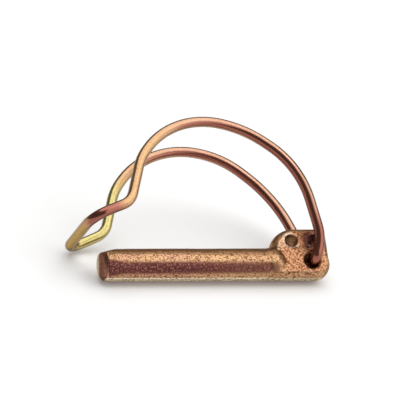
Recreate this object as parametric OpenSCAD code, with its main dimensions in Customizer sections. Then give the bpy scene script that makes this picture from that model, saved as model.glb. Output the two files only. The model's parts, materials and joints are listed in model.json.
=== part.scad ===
// Lynch pin with a springy wire bow.
// A forged round pin carries a flat lug at its head. The two ends of a wire bow are
// bent into one hole of the lug, so the bow swings about that hole, and the cross-bar
// at its far end closes round the tip of the pin.

/* [Pin] */
// Diameter of the shank
shank_d = 10; // [8:0.5:14]
// Distance from the hinge hole to the end face of the tip
shank_len = 68.1; // [60:0.1:90]
// Distance from the hinge hole to the rounded head end
head_len = 6.6; // [5.5:0.1:9]
// Width of the chamfer round the end face of the tip
tip_chamfer = 1.2; // [0.4:0.1:2]
// Length of the ramp on the bow's side of the tip
ramp_len = 5.4; // [3:0.1:9]
// Depth of that ramp at the end face
ramp_depth = 1.3; // [0.5:0.1:2]
// Distance from the hinge hole back to where the shank swells into the neck
neck_back = 14.2; // [13:0.1:18]
// Width of the strip left where the forging flash was trimmed, above and below
flash_w = 2.4; // [1:0.1:3]

/* [Lug] */
// Thickness between the two flats of the lug
lug_t = 7.2; // [6.5:0.1:8]
// Height of the lug above the axis of the pin
lug_rise = 11.4; // [10.5:0.1:15]
// Distance from the hinge hole back to the lug's rear edge
lug_back = 12.6; // [12:0.1:13.5]
// Radius of the lug's rear upper corner
lug_round = 8.4; // [7:0.1:9]
// Radius of the lug's front upper corner
lug_nose = 3.2; // [2.5:0.1:5]
// How far the lug's edge is crowned beyond its flats
lug_crown = 1.9; // [1:0.1:2.3]
// Distance from the hinge hole back to the dome that ends the full round of the neck
shoulder_back = 8.7; // [8:0.1:9]

/* [Holes] */
// Diameter of the lanyard hole and the spare hole
hole_d = 4; // [3.6:0.1:4.6]
// Height of those two holes above the hinge hole
hole_rise = 6.5; // [6.4:0.1:7.2]
// Distance from the hinge hole back to the lanyard hole
lanyard_back = 6; // [5.6:0.1:6.4]
// Distance from the hinge hole forward to the spare hole
spare_ahead = 1.4; // [1:0.1:1.8]
// Clearance of the wire in the hinge hole, on the diameter
hinge_gap = 1.3; // [0.6:0.1:1.6]
// Gap left where the wire lies against the front of the hinge hole
seat_gap = 0.15; // [0.1:0.05:0.3]
// Depth and width of the rubbed-out mouth of each hole
mouth = 0.6; // [0.3:0.05:0.7]

/* [Bow] */
// Diameter of the wire
wire_d = 3.2; // [2.5:0.1:3.6]
// How deep each end of the wire sits in the hinge hole
end_depth = 3; // [2:0.1:3.2]
// Gap between the wire and the lug's flat
side_gap = 0.6; // [0.5:0.1:1.5]
// Width over the centres of the two legs of the bow
bow_w = 24.4; // [22:0.2:30]
// How much wider the bow is at its cross-bar
bow_flare = 3.4; // [0:0.2:6]
// Height of the arch's highest corner above the axis of the pin
arch_rise = 45.4; // [43:0.2:50]
// Gap that the cross-bar keeps from the end of the tip as the bow swings past it
swing_gap = 4.6; // [3.5:0.1:8]
// Height of the cross-bar above the axis of the pin
bar_rise = 10.4; // [8:0.1:14]
// Bend radius of the wire where it leaves the hinge hole, at its centre line
end_bend = 2.7; // [2.4:0.1:3]
// Bend radius at the corners of the cross-bar, at its centre line
bar_bend = 5.8; // [4:0.1:8]

/* [Hidden] */
$fn = 96;
over = 1; // how far a cutter runs past the surface it cuts

// The part lies on its shank and on one leg of its bow, so it is rolled over by this
// angle from lying flat. Its origin is on the pin's axis, where the neck starts.
rest_roll = 37.6;

// Pin, drawn with its axis along X, the hinge hole at the origin and the lug towards +Y
shank_r = shank_d / 2;
neck_swell = 0.2; // how far the neck beside the lug stands proud of the shank
neck_run = 0.6; // length over which it swells out
neck_r = shank_r + neck_swell;
dome_edge = 0.1; // the domes meet the neck at a slight edge, as forged
dome_r = neck_r + dome_edge;
shoulder_reach = sqrt(dome_r * dome_r - lug_t * lug_t / 4);
shoulder_x = -shoulder_back - shoulder_reach;
shank_x0 = tip_chamfer - shank_len; // where the full round of the shank starts
flash_y = shank_r + 0.05; // the trimmed flash stands just proud of the round

// Lug: its edge is an arc through the rims of both flats and the crown between them
crown_r = (lug_t * lug_t / 4 + lug_crown * lug_crown) / (2 * lug_crown);
lug_x0 = -lug_back;
foot_cover = 0.1; // how far the dome reaches past the foot of the lug's front
lug_x1 = head_len - foot_cover;

// Holes
hinge_hole_d = wire_d + hinge_gap;
lanyard_at = [-lanyard_back, hole_rise];
spare_at = [spare_ahead, hole_rise];

min_run = 0.3; // shortest straight between two bends
lap = 0.12; // how far a straight stretch of wire runs into a bend
swell = 0.02; // how much the wire swells in a bend, on the radius

// Bow: one leg's corners as [x, y, half of the bow's width there], from the hinge hole
// over the arch to the cross-bar. The arch takes its shape from its length and height.
seat_x = hinge_gap / 2 - seat_gap; // the wire lies this far ahead of the hole's centre
bar_r = shank_len + swing_gap + wire_d / 2;
bar_x = -sqrt(bar_r * bar_r - bar_rise * bar_rise);
half_w = bow_w / 2;
end_z = lug_t / 2 + side_gap + wire_d / 2;
kink_rise = 5.4; // rise of the kink behind the cross-bar, above the bar
heel = [2, 6, 1.6]; // first corner from the wire's end: ahead, up and outwards
leg = [
    [seat_x, 0, end_z],
    [seat_x + heel.x, heel.y, end_z + heel.z],
    [0.045 * bar_x, 0.61 * arch_rise, half_w + 0.3],
    [0.26 * bar_x, 0.888 * arch_rise, half_w - 0.8],
    [0.574 * bar_x, arch_rise, half_w],
    [0.75 * bar_x, 0.66 * arch_rise, half_w + 0.25 * bow_flare],
    [0.817 * bar_x, bar_rise + kink_rise, half_w + 0.2 * bow_flare],
    [bar_x, bar_rise, half_w + 0.5 * bow_flare]
];
leg_bends = [
    end_bend, 0.31 * arch_rise, 0.68 * arch_rise, 0.69 * arch_rise,
    0.58 * arch_rise, 0.42 * arch_rise, 2 * wire_d, bar_bend
];
end_z0 = lug_t / 2 - end_depth;
far_leg = [for (i = [len(leg) - 1:-1:0]) [leg[i].x, leg[i].y, -leg[i].z]];
route = concat([[seat_x, 0, end_z0]], leg, far_leg, [[seat_x, 0, -end_z0]]);
bends = concat([0], leg_bends, [for (i = [len(leg) - 1:-1:0]) leg_bends[i]], [0]);

function unit(v) = v / norm(v);
function along(i) = unit(route[i + 1] - route[i]);
function turn(i) = acos(along(i - 1) * along(i));
// Length that the bend at a corner would take from the straight on each side of it, and
// what it does take where two bends have to share a short straight
function wish(i) = bends[i] == 0 ? 0 : bends[i] * tan(turn(i) / 2);
function share(i) = min(1, (norm(route[i + 1] - route[i]) - min_run) / (wish(i) + wish(i + 1)));
function take(i) = wish(i) == 0 ? 0 : wish(i) * min(share(i - 1), share(i));
function bend_r(i) = take(i) / tan(turn(i) / 2);

// Sets a child's X and Y axes along two given directions, at a given place
module frame(x, y, at) {
    z = cross(x, y);
    multmatrix([[x.x, y.x, z.x, at.x], [x.y, y.y, z.y, at.y], [x.z, y.z, z.z, at.z]])
        children();
}

// The straight stretch of wire between corner i and the next. It runs a little way into
// the bend at each end.
module straight(i) {
    u = along(i);
    from = route[i] + (take(i) - (i > 0 ? lap : 0)) * u;
    to = route[i + 1] - (take(i + 1) - (i < len(route) - 2 ? lap : 0)) * u;
    side = unit(cross(u, abs(u.z) < 0.9 ? [0, 0, 1] : [1, 0, 0]));
    frame(side, cross(u, side), from) cylinder(h = norm(to - from), d = wire_d);
}

// The bend at corner i, a stretch of a torus
module bend(i) {
    u = along(i - 1);
    inward = unit(along(i) - (along(i) * u) * u);
    centre = route[i] - take(i) * u + bend_r(i) * inward;
    frame(-inward, u, centre) rotate_extrude(angle = turn(i))
        translate([bend_r(i), 0]) circle(r = wire_d / 2 + swell);
}

module at_rest() {
    rotate([rest_roll, 0, 0]) translate([neck_back, 0, 0]) children();
}

module wire_bow() {
    color("#b98a5c") at_rest() {
        for (i = [0:len(route) - 2]) straight(i);
        for (i = [1:len(route) - 2]) bend(i);
    }
}

// Cylinder along X from x0 to x1
module rod(x0, x1, r) {
    translate([x0, 0, 0]) rotate([0, 90, 0]) cylinder(h = x1 - x0, r = r);
}

// Round bar along X from x0, with a dome over its end that is centred at x1
module domed_rod(x0, x1) {
    intersection() {
        rod(x0, x1 + dome_r + over, neck_r);
        union() {
            rod(x0 - over, x1, neck_r + over);
            translate([x1, 0, 0]) sphere(r = dome_r);
        }
    }
}

// Round bar along X from x0 to x1 whose radius changes evenly from r0 to r1
module taper(x0, x1, r0, r1) {
    translate([x0, 0, 0]) rotate([0, 90, 0]) cylinder(h = x1 - x0, r1 = r0, r2 = r1);
}

// The shank: a chamfered tip, the full round, and the swell into the neck
module shank() {
    taper(-shank_len, shank_x0, shank_r - tip_chamfer, shank_r);
    rod(shank_x0, -neck_back, shank_r);
    taper(-neck_back, neck_run - neck_back, shank_r, neck_r);
}

// The neck and the round root of the head. The neck ends in a dome that dies into the
// lug's flats, and between the flats the root runs on to the domed head end.
module head_round() {
    intersection() {
        domed_rod(neck_run - neck_back, head_len - dome_r);
        union() {
            rod(-neck_back, shoulder_x, neck_r + over);
            translate([shoulder_x, 0, 0]) sphere(r = dome_r);
            translate([shoulder_x, -shank_d, -lug_t / 2])
                cube([head_len - shoulder_x + over, 2 * shank_d, lug_t]);
        }
    }
}

// The flash round the parting line, before it is trimmed
module flash() {
    translate([shank_x0, -shank_d, -flash_w / 2])
        cube([shoulder_x - shank_x0, 2 * shank_d, flash_w]);
}

// Section through the lug's edge: flat on both sides and crowned at its outer end
module edge_section(depth) {
    intersection() {
        translate([depth - crown_r, 0]) circle(r = crown_r);
        translate([0, -lug_t / 2]) square([depth + over, lug_t]);
    }
}

// A straight run of that edge, from one point along a direction given by its angle
module straight_edge(at, angle, run, depth) {
    translate(at) rotate([0, 0, angle]) rotate([90, 0, 0])
        linear_extrude(run) edge_section(depth);
}

module corner_edge(at, angle, radius) {
    translate(at) rotate([0, 0, angle]) rotate_extrude(angle = 90) edge_section(radius);
}

// The plate of the lug, with the crowned edge round its rear, top and front
module lug_plate() {
    rear = [lug_x0 + lug_round, lug_rise - lug_round, 0];
    nose = [lug_x1 - lug_nose, lug_rise - lug_nose, 0];
    straight_edge([rear.x, 0, 0], 180, rear.y, lug_round);
    corner_edge(rear, 90, lug_round);
    straight_edge([rear.x, 0, 0], 90, nose.x - rear.x, lug_rise);
    corner_edge(nose, 0, lug_nose);
    straight_edge([nose.x, nose.y, 0], 0, nose.y, lug_nose);
}

// A cross hole right through the lug, with a rubbed-out mouth on each side
module cross_hole(at, d) {
    translate([at.x, at.y, -lug_t / 2 - over]) cylinder(h = lug_t + 2 * over, d = d);
    for (side = [0, 1]) mirror([0, 0, side])
        translate([at.x, at.y, lug_t / 2 - mouth])
            cylinder(h = mouth + over, r1 = d / 2, r2 = d / 2 + mouth + over);
}

// The wedge cut off the tip on the bow's side
module ramp_cut() {
    x_tip = -shank_len;
    slope = ramp_depth / ramp_len;
    translate([0, 0, -shank_r - over]) linear_extrude(shank_d + 2 * over) polygon([
        [x_tip - over, shank_r - ramp_depth - slope * over],
        [x_tip + ramp_len, shank_r],
        [x_tip + ramp_len, shank_r + over],
        [x_tip - over, shank_r + over]
    ]);
}

module pin_body() {
    color("#a9744a") at_rest() difference() {
        union() {
            intersection() {
                union() {
                    shank();
                    head_round();
                    flash();
                }
                translate([-shank_len - over, -flash_y, -shank_d])
                    cube([shank_len + head_len + 2 * over, 2 * flash_y, 2 * shank_d]);
            }
            lug_plate();
        }
        ramp_cut();
        cross_hole([0, 0], hinge_hole_d);
        cross_hole(lanyard_at, hole_d);
        cross_hole(spare_at, hole_d);
    }
}

pin_body();
wire_bow();
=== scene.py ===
import json
import math

import bmesh
import bpy
from mathutils import Matrix, Vector, noise


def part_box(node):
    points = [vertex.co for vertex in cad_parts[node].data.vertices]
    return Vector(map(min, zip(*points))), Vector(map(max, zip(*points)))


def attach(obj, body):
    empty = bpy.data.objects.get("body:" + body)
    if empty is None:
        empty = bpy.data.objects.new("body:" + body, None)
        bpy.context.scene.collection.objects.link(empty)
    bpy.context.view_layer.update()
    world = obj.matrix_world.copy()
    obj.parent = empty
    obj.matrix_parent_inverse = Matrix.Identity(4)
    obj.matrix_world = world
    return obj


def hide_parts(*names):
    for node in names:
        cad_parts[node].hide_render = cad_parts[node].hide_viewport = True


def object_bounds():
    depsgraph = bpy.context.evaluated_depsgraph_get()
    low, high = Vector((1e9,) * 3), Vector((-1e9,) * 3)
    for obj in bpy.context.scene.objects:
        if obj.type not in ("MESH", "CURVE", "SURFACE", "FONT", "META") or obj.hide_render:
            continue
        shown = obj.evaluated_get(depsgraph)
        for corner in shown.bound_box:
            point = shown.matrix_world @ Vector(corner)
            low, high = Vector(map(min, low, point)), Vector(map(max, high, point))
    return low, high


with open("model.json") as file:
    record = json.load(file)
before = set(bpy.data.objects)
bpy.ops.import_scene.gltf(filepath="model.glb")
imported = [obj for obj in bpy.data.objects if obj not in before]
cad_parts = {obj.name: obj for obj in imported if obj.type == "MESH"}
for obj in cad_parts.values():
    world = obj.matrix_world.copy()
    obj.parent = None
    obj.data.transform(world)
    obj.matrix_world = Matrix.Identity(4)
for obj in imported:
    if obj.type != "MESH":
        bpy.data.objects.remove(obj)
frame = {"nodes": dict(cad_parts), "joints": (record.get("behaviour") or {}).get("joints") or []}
cad_low, cad_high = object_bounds()

bl_info = {
    "name": "Lynch Pin",
    "version": (1, 0, 0),
    "blender": (4, 5, 0),
    "location": "3D View > Sidebar > Lynch Pin",
    "description": "Builds a forged lynch pin, its spring wire bow and a plain stage",
    "category": "Object",
}

MM = 0.001

# The pin's own directions, from its hinge: along the shank towards the head, up the lug
# and across it. The part lies rolled over, so they differ from the frame's.
HINGE = frame["joints"][0]
ACROSS = Vector(HINGE["axis"]).normalized()
ALONG = Vector((1, 0, 0))
UP_LUG = ACROSS.cross(ALONG)
PIN_AXES = Matrix((ALONG, UP_LUG, ACROSS)).transposed()
# The wire lies against the front of the hinge hole, this many millimetres ahead of its
# centre
SEAT = 0.5


def in_frame(along, up, across):
    """Point of the part from millimetres along, up and across the pin, from its hinge hole."""
    return Vector(HINGE["pos_m"]) + PIN_AXES @ (Vector((along - SEAT, up, across)) * MM)


def on_pin(point):
    """The other way round: millimetres along, up and across the pin of a point of the part."""
    along, up, across = PIN_AXES.transposed() @ (point - Vector(HINGE["pos_m"])) / MM
    return along + SEAT, up, across


def smooth(value, low, high):
    """0 below low, 1 above high and a smooth step between them."""
    share = min(1.0, max(0.0, (value - low) / (high - low)))
    return share * share * (3 - 2 * share)


# Sides of the pin and of the wire, in the frame's axes, that are painted red-brown as painted
# shade, for the dark room and the shadowed floor that they reflect. The side of the pin that
# faces up is painted dull olive as painted shade, where the lamp's reflection falls away.
PIN_SHADED_SIDE = Vector((0, -0.944, 0.331))
WIRE_SHADED_SIDE = Vector((-0.3, -0.93, 0.2)).normalized()
WIRE_SHADED_SIDE_AT_HEAD = Vector((-0.95, -0.28, 0.12)).normalized()
TOP_SHADE_SIDE = Vector((0, 0.38, 0.925))

# Places on the pin in millimetres: the radius of its shank, half of the lug's thickness,
# the centres of the three cross holes along and up the pin, and the radius of two of them
SHANK_R = 5
HALF_LUG = 3.6
LANYARD_HOLE = Vector((-6, 6.5))
SPARE_HOLE = Vector((1.4, 6.5))
HINGE_HOLE = Vector((0, 0))
BORE = 2.0

# The side of the nose that the bow has worn flat, as shares up and across the pin, and how
# deep the flat is at the end face
WORN_UP, WORN_ACROSS = 0.923, 0.385
WORN_DEPTH = 1.2

# How far a mouth's flare reaches beyond its bore, and how much the far mouths are pinched
FLARE = 0.8
PINCH = 0.35


def linear(hex_colour):
    """Linear RGBA from an sRGB hex colour."""
    parts = [int(hex_colour[i : i + 2], 16) / 255 for i in (1, 3, 5)]
    return (*[c / 12.92 if c <= 0.04045 else ((c + 0.055) / 1.055) ** 2.4 for c in parts], 1)


def scale_of(size_mm):
    """Texture scale at which a pattern's features are about that many millimetres across."""
    return 1 / (size_mm * MM)


def add_node(tree, kind, settings=None, inputs=None):
    """Adds a shader node. Inputs are values, or output sockets to link from."""
    node = tree.nodes.new("ShaderNode" + kind)
    for name, value in (settings or {}).items():
        setattr(node, name, value)
    for name, value in (inputs or {}).items():
        if isinstance(value, bpy.types.NodeSocket):
            tree.links.new(value, node.inputs[name])
        else:
            node.inputs[name].default_value = value
    return node


def new_material(name):
    """An empty material with its tree, its principled shader and the object's own coordinates."""
    material = bpy.data.materials.new(name)
    material.use_nodes = True
    tree = material.node_tree
    tree.nodes.clear()
    shader = add_node(tree, "BsdfPrincipled")
    add_node(tree, "OutputMaterial", inputs={"Surface": shader.outputs["BSDF"]})
    place = add_node(tree, "TexCoord").outputs["Object"]
    return material, tree, shader, place


def layered(tree, film, layers):
    """Lays colours over a film.

    Each layer has a value, the value at which it starts to show, the value at which it
    shows most, how much of it shows then, and its colour.
    """
    for value, start, full, most, colour in layers:
        share = add_node(
            tree,
            "MapRange",
            {"interpolation_type": "SMOOTHSTEP"},
            {"Value": value, "From Min": start, "From Max": full, "To Max": most},
        )
        both = {0: share.outputs["Result"], 6: film, 7: colour}
        film = add_node(tree, "Mix", {"data_type": "RGBA"}, both).outputs[2]
    return film


# ---------------------------------------------------------------- finishes


def chromated_forging(look):
    """Yellow iridescent chromate on zinc, on drop-forged and tumbled steel.

    It gives a satin metal with a fine pebbled grain. The film wanders from gold to copper, is
    paler on worn edges and darker in the pits. Red-brown and olive are painted shade, and the
    pale strips and the tip's rim are a painted reflection and highlight. The real grain is about
    0.2 mm wide, and is drawn coarser so that it shows.
    """
    material, tree, shader, place = new_material("yellow_chromate_on_forging")
    noted = {}
    for name in ("shade_and_stain", "olive_shade", "golden", "orange", "wear", "trimmed"):
        noted[name] = add_node(tree, "Attribute", {"attribute_name": name}).outputs["Fac"]
    noises = {}
    for name, size_mm, detail, roughness in (
        ("patches", 7, 2, 0.5),
        ("dents", 1.8, 2, 0.5),
        ("grain", look.grain_mm, 3, 0.7),
    ):
        noises[name] = add_node(
            tree,
            "TexNoise",
            inputs={
                "Vector": place,
                "Scale": scale_of(size_mm),
                "Detail": detail,
                "Roughness": roughness,
            },
        ).outputs["Fac"]
    grain = add_node(
        tree, "MapRange", inputs={"Value": noises["grain"], "From Min": 0.36, "From Max": 0.64}
    ).outputs["Result"]
    # The grain breaks up the edges of the red-brown painted shade and of the worn places
    speckled = {}
    for name in ("shade_and_stain", "wear"):
        speckled[name] = add_node(
            tree, "Math", {"operation": "MULTIPLY_ADD"}, {0: grain, 1: 0.8, 2: noted[name]}
        ).outputs[0]
    film = layered(
        tree,
        look.copper,
        (
            (noises["patches"], 0.4, 0.6, 0.8, look.gold),
            (noted["golden"], 0.0, 1.0, 0.6, look.gold),
            (noted["orange"], 0.0, 1.0, 0.9, look.orange),
            (grain, 0.42, 0.8, look.flecks, look.fleck),
            (noted["orange"], 0.0, 1.0, 0.25, look.orange),
            (speckled["wear"], 0.7, 1.8, 0.6, look.worn_and_sheen),
            # Olive and red-brown painted shade, copper flecks over it, then the painted pale
            # sheen
            (noted["olive_shade"], 0.0, 1.0, 0.85, look.olive_shade),
            (speckled["shade_and_stain"], 0.55, 1.3, 1.0, look.maroon),
            (grain, 0.55, 0.95, 0.8, look.copper),
            (noted["trimmed"], 0.0, 1.0, 1.0, look.worn_and_sheen),
            # The pits lie where the grain is low
            (grain, 0.48, 0.15, look.pit_depth, look.pit),
        ),
    )
    height = add_node(
        tree,
        "Math",
        {"operation": "MULTIPLY_ADD"},
        {0: noises["dents"], 1: 2.0, 2: noises["grain"]},
    ).outputs[0]
    bump = add_node(tree, "Bump", inputs={"Distance": look.bump, "Height": height})
    roughness = add_node(
        tree, "MapRange", inputs={"Value": grain, "To Min": 0.46, "To Max": 0.32}
    )
    tree.links.new(film, shader.inputs["Base Color"])
    tree.links.new(bump.outputs["Normal"], shader.inputs["Normal"])
    tree.links.new(roughness.outputs["Result"], shader.inputs["Roughness"])
    shader.inputs["Metallic"].default_value = 1
    shader.inputs["Specular Tint"].default_value = look.edge
    shader.inputs["Coat Weight"].default_value = 0.3
    shader.inputs["Coat Roughness"].default_value = 0.3
    return material


def chromated_wire(look):
    """Yellow iridescent chromate on zinc, on drawn spring steel wire.

    It gives a smooth bright metal. The film runs from copper on the arch to yellow-green
    round the cross-bar. Red-brown is painted on as painted shade and dark reflection.
    """
    material, tree, shader, place = new_material("yellow_chromate_on_spring_wire")
    noted = {}
    for name in ("shade_and_stain", "golden", "green"):
        noted[name] = add_node(tree, "Attribute", {"attribute_name": name}).outputs["Fac"]
    noises = {}
    for name, size_mm in (("blots", 5), ("specks", 0.5)):
        noises[name] = add_node(
            tree, "TexNoise", inputs={"Vector": place, "Scale": scale_of(size_mm)}
        ).outputs["Fac"]
    film = layered(
        tree,
        look.copper,
        (
            (noises["blots"], 0.4, 0.7, 0.45, look.rose),
            (noted["golden"], 0.0, 1.0, 1.0, look.gold),
            (noted["shade_and_stain"], 0.0, 1.0, 1.0, look.maroon),
            (noted["green"], 0.0, 1.0, 1.0, look.green),
            (noises["specks"], 0.6, 0.35, 0.25, look.maroon),
        ),
    )
    roughness = add_node(
        tree,
        "MapRange",
        inputs={
            "Value": noises["specks"],
            "From Min": 0.3,
            "From Max": 0.7,
            "To Min": 0.3,
            "To Max": 0.2,
        },
    )
    tree.links.new(film, shader.inputs["Base Color"])
    tree.links.new(roughness.outputs["Result"], shader.inputs["Roughness"])
    shader.inputs["Metallic"].default_value = 1
    shader.inputs["Specular Tint"].default_value = look.edge
    shader.inputs["Coat Weight"].default_value = 0.8
    shader.inputs["Coat Roughness"].default_value = 0.15
    return material


def studio_floor(look):
    """Matt white paper: it keeps the part's soft shadow and comes out white round it."""
    material, tree, shader, _ = new_material("white_studio_paper")
    shader.inputs["Base Color"].default_value = look.paper
    shader.inputs["Roughness"].default_value = 0.9
    rays = add_node(tree, "LightPath").outputs
    seen = rays["Is Camera Ray"]
    for kind in ("Is Glossy Ray", "Is Transmission Ray"):
        either = {0: seen, 1: rays[kind]}
        seen = add_node(tree, "Math", {"operation": "MAXIMUM"}, either).outputs[0]
    top_up = add_node(tree, "Math", {"operation": "MULTIPLY"}, {0: seen, 1: look.top_up})
    shader.inputs["Emission Color"].default_value = (1, 1, 1, 1)
    tree.links.new(top_up.outputs[0], shader.inputs["Emission Strength"])
    return material


# ---------------------------------------------------------------- shared by the pieces


def new_piece(name, mesh, material, body, node):
    """Links a finished mesh as a piece that stands for a node and moves with its body."""
    piece = bpy.data.objects.new(name, mesh)
    bpy.context.scene.collection.objects.link(piece)
    mesh.materials.clear()
    mesh.materials.append(material)
    for polygon in mesh.polygons:
        polygon.use_smooth = True
    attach(piece, body)
    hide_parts(node)
    return piece


def remeshed(node, voxel, passes):
    """A node's solid as an even mesh whose sharp edges are softened, as forging leaves them."""
    source = bpy.data.objects.new("blank", node.data.copy())
    bpy.context.scene.collection.objects.link(source)
    remesh = source.modifiers.new("even_mesh", "REMESH")
    remesh.mode = "VOXEL"
    remesh.voxel_size = voxel
    soften = source.modifiers.new("soft_edges", "SMOOTH")
    soften.factor = 0.5
    soften.iterations = passes
    graph = bpy.context.evaluated_depsgraph_get()
    mesh = bpy.data.meshes.new_from_object(source.evaluated_get(graph))
    bpy.data.objects.remove(source)
    return mesh


def note(mesh, name, values):
    """Keeps one number for each vertex, for the material to read."""
    mesh.attributes.new(name, "FLOAT", "POINT").data.foreach_set("value", values)


# ---------------------------------------------------------------- forged pin


def in_bore(level, centre):
    """1 on the wall of a cross hole, and 0 from 0.35 mm beyond its bore."""
    return smooth(BORE + 0.35 - (level - centre).length, 0, 0.25)


def film_on_pin(place, normal):
    """How much red-brown and olive painted shade, gold, orange and pale painted sheen lie on the
    pin's film at a place.
    """
    along, up, across = place
    level = Vector((along, up))
    end = smooth(-normal.x, 0.35, 0.7) * smooth(-along, 60, 64)
    rim = smooth(up * WORN_ACROSS - across * WORN_UP, 0.4, 2.2)

    # Red-brown painted shade on the side facing the dark room and the shadowed floor, wider at
    # the tip, fainter towards the head, on the end face and in two holes; red-brown round the
    # spare hole
    tip = smooth(-along, 61, 67)
    shaded_side = smooth(normal.dot(PIN_SHADED_SIDE), 0.86 - 0.1 * tip, 1 - 0.06 * tip)
    shaded_side *= 1 - 0.25 * smooth(along, -50, -16)
    shaded_side *= 1 - 0.6 * smooth(along, -15, -8)
    shade_and_stain = max(
        shaded_side,
        0.55 * end * (1 - rim),
        0.5 * max(in_bore(level, SPARE_HOLE), in_bore(level, HINGE_HOLE)),
        0.75 * smooth(5.4 - (level - SPARE_HOLE).length, 0, 3),
    )

    # Gold comes in towards the head, and the olive painted shade on the top side widens there
    headward = smooth(along, -60, -14)
    low, high = 0.72 - 0.12 * headward, 0.83 - 0.1 * headward
    olive_shade = smooth(normal.dot(TOP_SHADE_SIDE), low, high) * smooth(-along, 8, 12)
    # The lanyard hole's wall is painted part olive as painted shade
    olive_shade = max(olive_shade, 0.3 * in_bore(level, LANYARD_HOLE))

    # Orange flats of the lug, and the strips above and below the round of the pin where the flash
    # was trimmed, painted pale as a painted reflection of the white floor
    flats = smooth(abs(across), HALF_LUG - 0.4, HALF_LUG - 0.1) * smooth(along, -11, -8)
    strip = smooth(1.5 - abs(across), 0, 0.4) * smooth(abs(up), SHANK_R - 0.4, SHANK_R - 0.2)
    strip *= (1 - flats) * smooth(SHANK_R + 0.4 - up, 0, 0.2) * (0.45 if up > 0 else 1)
    # The tip's rim beside the worn flat is painted pale as a painted highlight
    return shade_and_stain, olive_shade, headward, flats, max(strip, 0.8 * end * rim)


def battered_mouth(point):
    """Moves a point beside a hole: its mouths are barely flared, and the far one is pinched.

    Deep in the bore nothing moves. A share of 0 is on the bore and 1 at the flare's edge.
    """
    along, up, across = point
    level = Vector((along, up))
    for centre in (LANYARD_HOLE, SPARE_HOLE):
        away = level - centre
        share = (away.length - BORE) / FLARE
        if -0.2 < share < 1:
            near_flat = abs(across) > HALF_LUG - 1
            reach = FLARE * (max(0.0, share) ** 5 if near_flat else share)
            reach -= PINCH * smooth(-across, HALF_LUG - 1.4, HALF_LUG - 0.4) * (1 - share)
            level = centre + away.normalized() * (BORE + reach)
    return level.x, level.y, across


def worn_nose(point):
    """Moves a point of the tip down to the flat that wear has left on the bow's side."""
    along, up, across = point
    over = up * WORN_UP + across * WORN_ACROSS - SHANK_R
    over += WORN_DEPTH * smooth(-along, 62.5, 69)
    if along > -60 or over < 0:
        return point
    return along, up - over * WORN_UP, across - over * WORN_ACROSS


def edge_heights(mesh, normals):
    """How far each vertex stands out from its neighbours, averaged over three rings of them."""
    neighbours = [[] for _ in mesh.vertices]
    for edge in mesh.edges:
        a, b = edge.vertices
        neighbours[a].append(b)
        neighbours[b].append(a)
    heights = []
    for v, near in zip(mesh.vertices, neighbours):
        mean = sum((mesh.vertices[i].co for i in near), Vector()) / max(1, len(near))
        heights.append((v.co - mean).dot(normals[v.index]))
    for _ in range(3):
        heights = [
            (heights[i] + sum(heights[j] for j in near)) / (1 + len(near))
            for i, near in enumerate(neighbours)
        ]
    return heights


def weather(mesh, look):
    """Wears the nose and the mouths, notes the film with its painted shade and sheen, and sinks
    the surface a little unevenly.
    """
    for v in mesh.vertices:
        v.co = in_frame(*worn_nose(battered_mouth(on_pin(v.co))))
    mesh.update()
    normals = [v.normal.copy() for v in mesh.vertices]
    wear = []
    for v, height in zip(mesh.vertices, edge_heights(mesh, normals)):
        patchy = 0.7 + 1.4 * noise.noise(v.co / MM / look.wear_mm)
        wear.append(max(0.0, height / look.wear_height * patchy))
    note(mesh, "wear", wear)
    film = [film_on_pin(on_pin(v.co), normal) for v, normal in zip(mesh.vertices, normals)]
    for name, values in zip(("shade_and_stain", "olive_shade", "golden", "orange", "trimmed"), zip(*film)):
        note(mesh, name, values)
    for v in mesh.vertices:
        at = v.co / MM
        depth = 0.5 + 0.5 * noise.noise(at / look.swell_mm)
        depth += 0.25 + 0.25 * noise.noise(at / look.dent_mm)
        v.co -= normals[v.index] * depth * look.unevenness
    mesh.update()


# ---------------------------------------------------------------- wire bow

# Corners of one leg of the bow, from the hinge hole to the cross-bar: millimetres along, up
# and across the pin, and the radius of the wire's bend there. The arch takes its shape from
# how far along the pin the cross-bar lies and from its own height.
BAR_ALONG = -73.568
ARCH = 45.4
LEG = [
    ((SEAT, 0, 5.8), 2.7),
    ((SEAT + 2, 6, 7.4), 0.31 * ARCH),
    ((0.045 * BAR_ALONG, 0.61 * ARCH, 12.5), 0.68 * ARCH),
    ((0.26 * BAR_ALONG, 0.888 * ARCH, 11.4), 0.69 * ARCH),
    ((0.574 * BAR_ALONG, ARCH, 12.2), 0.58 * ARCH),
    ((0.75 * BAR_ALONG, 0.66 * ARCH, 13.05), 0.42 * ARCH),
    ((0.817 * BAR_ALONG, 15.8, 12.88), 6.4),
    ((BAR_ALONG, 10.4, 13.9), 5.8),
]
# How far from the pin's middle plane the wire's ends lie, inside the hinge hole, and the
# chamfer round them
END_ACROSS = 0.6
END_CHAMFER = 0.3
# How far the swept wire may reach outside its solid's box
STRAY = 0.05 * MM

# Stretches of the wire, as shares of its length, and how gradually the film changes there
# The near foot and the two ends, in the hinge hole, are painted red-brown as painted shade
NEAR_END = (-0.1, 0.065, 0.02)
FAR_END = (0.935, 1.1, 0.02)
NEAR_FOOT = (0.42, 0.462, 0.015)
CROSS_BAR = (0.467, 0.55, 0.01)
FAR_FOOT = (0.55, 0.655, 0.03)


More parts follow.
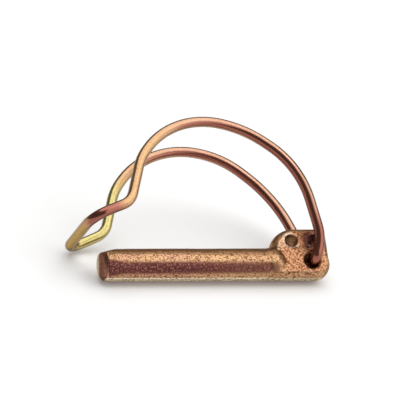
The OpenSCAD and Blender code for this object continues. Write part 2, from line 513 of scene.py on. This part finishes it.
def wire_path(step):
    """Centre line of the bow: points in millimetres along, up and across the pin."""
    far = [(Vector((x, y, -z)), r) for (x, y, z), r in reversed(LEG)]
    near = [(Vector(c), r) for c, r in LEG]
    near_end, far_end = Vector((SEAT, 0, END_ACROSS)), Vector((SEAT, 0, -END_ACROSS))
    corners = [(near_end, 0), *near, *far, (far_end, 0)]
    path = [corners[0][0]]

    def run_to(point):
        start = path[-1]
        count = max(1, round((point - start).length / step))
        path.extend(start.lerp(point, i / count) for i in range(1, count + 1))

    for (before, _), (corner, radius), (after, _) in zip(corners, corners[1:], corners[2:]):
        inward, outward = (corner - before).normalized(), (after - corner).normalized()
        turn = inward.angle(outward)
        reach = radius * math.tan(turn / 2)
        run_to(corner - inward * reach)
        to_centre = (outward - inward * inward.dot(outward)).normalized()
        centre = corner - inward * reach + to_centre * radius
        count = max(2, math.ceil(turn * radius / step))
        for i in range(1, count + 1):
            angle = turn * i / count
            path.append(
                centre + radius * (inward * math.sin(angle) - to_centre * math.cos(angle))
            )
    run_to(corners[-1][0])
    return path


def between(share, start, end, fade):
    """1 on a stretch of the wire and 0 beyond it."""
    return smooth(share, start - fade, start + fade) * smooth(-share, -end - fade, -end + fade)


def film_on_wire(share, along, outward):
    """How much red-brown painted shade, gold and green lie on the wire, at a share of its length
    and a place along the pin, on the side of the wire that faces outward."""
    at_head = smooth(along, -24, -8)
    on_bar = between(share, *CROSS_BAR)
    wire_shaded_side = max(
        smooth(outward.dot(WIRE_SHADED_SIDE), 0.72, 0.93),
        at_head * smooth(outward.dot(WIRE_SHADED_SIDE_AT_HEAD), 0.4, 0.75),
    )
    # Red-brown painted shade where the wire faces the dark room and the shadowed floor, at the
    # near foot and at the ends
    shade_and_stain = max(
        wire_shaded_side * (1 - on_bar),
        between(share, *NEAR_FOOT),
        between(share, *NEAR_END),
        between(share, *FAR_END),
    )
    golden = max(on_bar, 0.45 * smooth(-along, 25, 55))
    return shade_and_stain, golden, between(share, *FAR_FOOT)


def swept_wire(look):
    """Mesh of the wire round its centre line, with notes of how its film differs."""
    path = wire_path(look.step_mm)
    radius = look.wire / 2 / MM
    lengths = [0.0]
    for a, b in zip(path, path[1:]):
        lengths.append(lengths[-1] + (b - a).length)
    side = Vector((1, 0, 0))
    mesh = bmesh.new()
    notes = [mesh.verts.layers.float.new(name) for name in ("shade_and_stain", "golden", "green")]
    rings = []
    for i, point in enumerate(path):
        before, after = path[max(0, i - 1)], path[min(len(path) - 1, i + 1)]
        ahead = (after - before).normalized()
        side = (side - ahead * ahead.dot(side)).normalized()
        other = ahead.cross(side)
        size = radius - END_CHAMFER if i in (0, len(path) - 1) else radius
        ring = []
        for k in range(look.sides):
            angle = 2 * math.pi * k / look.sides
            out = side * math.cos(angle) + other * math.sin(angle)
            vert = mesh.verts.new(in_frame(*(point + out * size)))
            film = film_on_wire(lengths[i] / lengths[-1], point.x, PIN_AXES @ out)
            for layer, value in zip(notes, film):
                vert[layer] = value
            ring.append(vert)
        rings.append(ring)
    for ring, after in zip(rings, rings[1:]):
        for k in range(look.sides):
            n = (k + 1) % look.sides
            mesh.faces.new((ring[k], ring[n], after[n], after[k]))
    mesh.faces.new(reversed(rings[0]))
    mesh.faces.new(rings[-1])
    bmesh.ops.recalc_face_normals(mesh, faces=mesh.faces)
    data = bpy.data.meshes.new("spring_bow")
    mesh.to_mesh(data)
    mesh.free()
    return data


# ---------------------------------------------------------------- settings


def tint(name, description, hex_colour):
    """A colour setting."""
    return bpy.props.FloatVectorProperty(
        name=name,
        description=description,
        default=linear(hex_colour),
        subtype="COLOR",
        size=4,
        min=0,
        max=1,
    )


class ForgingSettings(bpy.types.PropertyGroup):
    voxel: bpy.props.FloatProperty(
        name="Mesh size",
        description="Edge length of the even mesh that the forging is made of",
        default=0.2 * MM,
        min=0.1 * MM,
        unit="LENGTH",
        precision=5,
    )
    passes: bpy.props.IntProperty(
        name="Softening",
        description="Passes of smoothing that take the sharpness off the edges",
        default=4,
        min=0,
    )
    unevenness: bpy.props.FloatProperty(
        name="Unevenness",
        description="How deep the die's unevenness sinks into the surface",
        default=0.08 * MM,
        unit="LENGTH",
        precision=5,
    )
    swell_mm: bpy.props.FloatProperty(
        name="Swell width",
        description="Width of the broad swells in the surface, in millimetres",
        default=7.0,
    )
    dent_mm: bpy.props.FloatProperty(
        name="Dent width",
        description="Width of the small dents in the surface, in millimetres",
        default=1.6,
    )
    wear_height: bpy.props.FloatProperty(
        name="Worn edge",
        description="How far an edge stands out where its film is worn through",
        default=0.012 * MM,
        unit="LENGTH",
        precision=6,
    )
    wear_mm: bpy.props.FloatProperty(
        name="Wear width",
        description="Width of the patches in which the edges are worn, in millimetres",
        default=3.0,
    )
    grain_mm: bpy.props.FloatProperty(
        name="Grain",
        description="Width of the pebbled grain, in millimetres",
        default=0.55,
    )
    flecks: bpy.props.FloatProperty(
        name="Flecks",
        description="How pale the high spots of the grain are",
        default=1.0,
        subtype="FACTOR",
    )
    pit_depth: bpy.props.FloatProperty(
        name="Pit depth",
        description="How much of the dark colour shows in the pits of the grain",
        default=0.85,
        subtype="FACTOR",
    )
    bump: bpy.props.FloatProperty(
        name="Bump",
        description="Height of the grain in the material",
        default=0.12 * MM,
        unit="LENGTH",
        precision=5,
    )
    copper: tint("Copper", "Film where it is coppery", "#a66c54")
    gold: tint("Gold", "Film where it is golden", "#b4864e")
    orange: tint("Orange", "Film on the flats of the lug", "#a05c2a")
    fleck: tint("Flecks", "Film on the high spots of the grain", "#eecca0")
    # Red-brown of the painted shade, and of the flat round the spare hole
    maroon: tint("Red-brown", "Film where it is thickest", "#5c2a2e")
    # Olive of the painted shade on the top side and in the lanyard hole
    olive_shade: tint("Olive", "Film on the side that hung uppermost", "#98724a")
    pit: tint("Pits", "Film in the pits of the grain", "#4e2418")
    # Pale of the worn edges, and of the painted reflection and highlight on the flash strips and
    # tip
    worn_and_sheen: tint("Worn", "Film on worn edges and on the trimmed flash", "#fff0d2")
    edge: tint("Glancing", "Tint of the film seen at a glancing angle", "#a08c5c")


class BowSettings(bpy.types.PropertyGroup):
    wire: bpy.props.FloatProperty(
        name="Wire diameter",
        description="Diameter of the spring wire",
        default=3.2 * MM,
        unit="LENGTH",
        precision=5,
    )
    step_mm: bpy.props.FloatProperty(
        name="Ring step",
        description="Distance between the rings of the wire's mesh, in millimetres",
        default=0.6,
    )
    sides: bpy.props.IntProperty(
        name="Sides", description="Sides of the wire's mesh", default=32, min=8
    )
    copper: tint("Copper", "Film where it is coppery", "#b98f74")
    rose: tint("Rose", "Film in its rosy blots", "#b07c62")
    # Red-brown of the painted shade on the wire, and of its small specks
    maroon: tint("Red-brown", "Film where it is thickest", "#8f4f3c")
    gold: tint("Gold", "Film round the cross-bar", "#c29d52")
    green: tint("Yellow-green", "Film of the far leg beside the cross-bar", "#bdb26c")
    edge: tint("Glancing", "Tint of the film seen at a glancing angle", "#7c7444")


class StageSettings(bpy.types.PropertyGroup):
    floor_width: bpy.props.FloatProperty(
        name="Floor width",
        description="Width of the floor",
        default=8.0,
        unit="LENGTH",
    )
    paper: tint("Paper", "Colour of the floor", "#f4f4f4")
    top_up: bpy.props.FloatProperty(
        name="Paper white",
        description="How much whiter than its lit colour the floor shows",
        default=0.1,
    )
    lamp: bpy.props.FloatProperty(
        name="Lamp", description="Strength of the overhead soft light", default=2.1
    )
    side: bpy.props.FloatProperty(
        name="Side lamp", description="Strength of the weaker light beside the head", default=1.5
    )
    side_width: bpy.props.FloatProperty(
        name="Side lamp width",
        description="Angle that the side light covers",
        default=math.radians(70),
        subtype="ANGLE",
    )
    lamp_width: bpy.props.FloatProperty(
        name="Lamp width",
        description="Angle that the overhead soft light covers",
        default=math.radians(76),
        subtype="ANGLE",
    )
    sky: bpy.props.FloatProperty(
        name="Room", description="Strength of the dim room round the stage", default=0.16
    )
    distance: bpy.props.FloatProperty(
        name="Camera distance",
        description="From the camera to the part",
        default=3.0,
        unit="LENGTH",
    )
    view_width: bpy.props.FloatProperty(
        name="View width",
        description="Width of the camera's view where the part is",
        default=123.1 * MM,
        unit="LENGTH",
        precision=4,
    )


# ---------------------------------------------------------------- operators


class LYNCHPIN_OT_forging(bpy.types.Operator):
    """Builds the forged pin with its lug"""

    bl_idname = "lynchpin.forging"
    bl_label = "Forged Pin"

    def execute(self, context):
        look = context.scene.lynchpin_forging
        mesh = remeshed(frame["nodes"]["pin_body"], look.voxel, look.passes)
        if not mesh.polygons:
            raise RuntimeError("The mesh size is too coarse to make the forging")
        weather(mesh, look)
        new_piece("forged_pin", mesh, chromated_forging(look), "pin", "pin_body")
        return {"FINISHED"}


class LYNCHPIN_OT_bow(bpy.types.Operator):
    """Builds the spring wire bow"""

    bl_idname = "lynchpin.bow"
    bl_label = "Wire Bow"

    def execute(self, context):
        look = context.scene.lynchpin_bow
        mesh = swept_wire(look)
        low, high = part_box("wire_bow")
        # The corners are written out here, so they are tested against the bow's own solid
        for v in mesh.vertices:
            for at, least, most in zip(v.co, low, high):
                if not least - STRAY <= at <= most + STRAY:
                    raise RuntimeError("The wire's centre line strays from the bow's solid")
        new_piece("spring_bow", mesh, chromated_wire(look), "bow", "wire_bow")
        return {"FINISHED"}


# Directions towards the two lamps, in the frame's axes
OVERHEAD = Vector((0.1, 0.2, 0.97))
BESIDE_HEAD = Vector((0.68, -0.55, 0.48))
# How the camera looks: directions along, up and across the pin, and the point at the middle
# of its view in millimetres
VIEW_RIGHT = Vector((0.938, -0.1335, 0.32)).normalized()
TOWARDS_CAMERA = Vector((-0.347, -0.361, 0.866))
VIEW_CENTRE = (-31.35, 22.81, -3.04)


class LYNCHPIN_OT_stage(bpy.types.Operator):
    """Builds the floor, the soft light and the camera"""

    bl_idname = "lynchpin.stage"
    bl_label = "Stage"

    def execute(self, context):
        look = context.scene.lynchpin_stage
        scene = context.scene
        scene.view_settings.view_transform = "Standard"

        far = look.floor_width / 2
        corners = ((-far, -far), (far, -far), (far, far), (-far, far))
        floor = bpy.data.meshes.new("floor")
        floor.from_pydata([(x, y, cad_low.z) for x, y in corners], [], [(0, 1, 2, 3)])
        floor.materials.append(studio_floor(look))
        floor_object = bpy.data.objects.new("floor", floor)
        scene.collection.objects.link(floor_object)

        for name, strength, width, towards_lamp in (
            ("overhead", look.lamp, look.lamp_width, OVERHEAD),
            ("side", look.side, look.side_width, BESIDE_HEAD),
        ):
            lamp = bpy.data.lights.new(name, "SUN")
            lamp.energy = strength
            lamp.angle = width
            lamp_object = bpy.data.objects.new(name, lamp)
            scene.collection.objects.link(lamp_object)
            lamp_object.rotation_euler = towards_lamp.to_track_quat("Z", "Y").to_euler()

        world = bpy.data.worlds.new("dim_room")
        world.use_nodes = True
        sky = world.node_tree.nodes["Background"].inputs
        sky["Strength"].default_value = look.sky
        sky["Color"].default_value = (1, 1, 1, 1)
        scene.world = world

        right = PIN_AXES @ VIEW_RIGHT
        towards = PIN_AXES @ TOWARDS_CAMERA
        towards = (towards - right * right.dot(towards)).normalized()
        above = towards.cross(right)
        target = in_frame(*VIEW_CENTRE)
        camera = bpy.data.cameras.new("camera")
        camera.lens = camera.sensor_width * look.distance / look.view_width
        camera.clip_end = 100
        camera_object = bpy.data.objects.new("camera", camera)
        scene.collection.objects.link(camera_object)
        turned = Matrix((right, above, towards)).transposed().to_4x4()
        place = Matrix.Translation(target + towards * look.distance)
        camera_object.matrix_world = place @ turned
        scene.camera = camera_object
        return {"FINISHED"}


class VIEW3D_PT_lynchpin(bpy.types.Panel):
    bl_label = "Lynch Pin"
    bl_space_type = "VIEW_3D"
    bl_region_type = "UI"
    bl_category = "Lynch Pin"

    def draw(self, context):
        for settings, operator in GROUPS:
            box = self.layout.box()
            box.operator(operator)
            group = getattr(context.scene, settings)
            for name in group.bl_rna.properties.keys():
                if name not in ("rna_type", "name"):
                    box.prop(group, name)


GROUPS = (
    ("lynchpin_forging", "lynchpin.forging"),
    ("lynchpin_bow", "lynchpin.bow"),
    ("lynchpin_stage", "lynchpin.stage"),
)
CLASSES = (
    ForgingSettings,
    BowSettings,
    StageSettings,
    LYNCHPIN_OT_forging,
    LYNCHPIN_OT_bow,
    LYNCHPIN_OT_stage,
    VIEW3D_PT_lynchpin,
)


def register():
    for made in CLASSES:
        bpy.utils.register_class(made)
    bpy.types.Scene.lynchpin_forging = bpy.props.PointerProperty(type=ForgingSettings)
    bpy.types.Scene.lynchpin_bow = bpy.props.PointerProperty(type=BowSettings)
    bpy.types.Scene.lynchpin_stage = bpy.props.PointerProperty(type=StageSettings)


def unregister():
    del bpy.types.Scene.lynchpin_stage
    del bpy.types.Scene.lynchpin_bow
    del bpy.types.Scene.lynchpin_forging
    for made in reversed(CLASSES):
        bpy.utils.unregister_class(made)


def main():
    register()
    bpy.ops.lynchpin.forging()
    bpy.ops.lynchpin.bow()
    bpy.ops.lynchpin.stage()


if __name__ == "__main__":
    main()
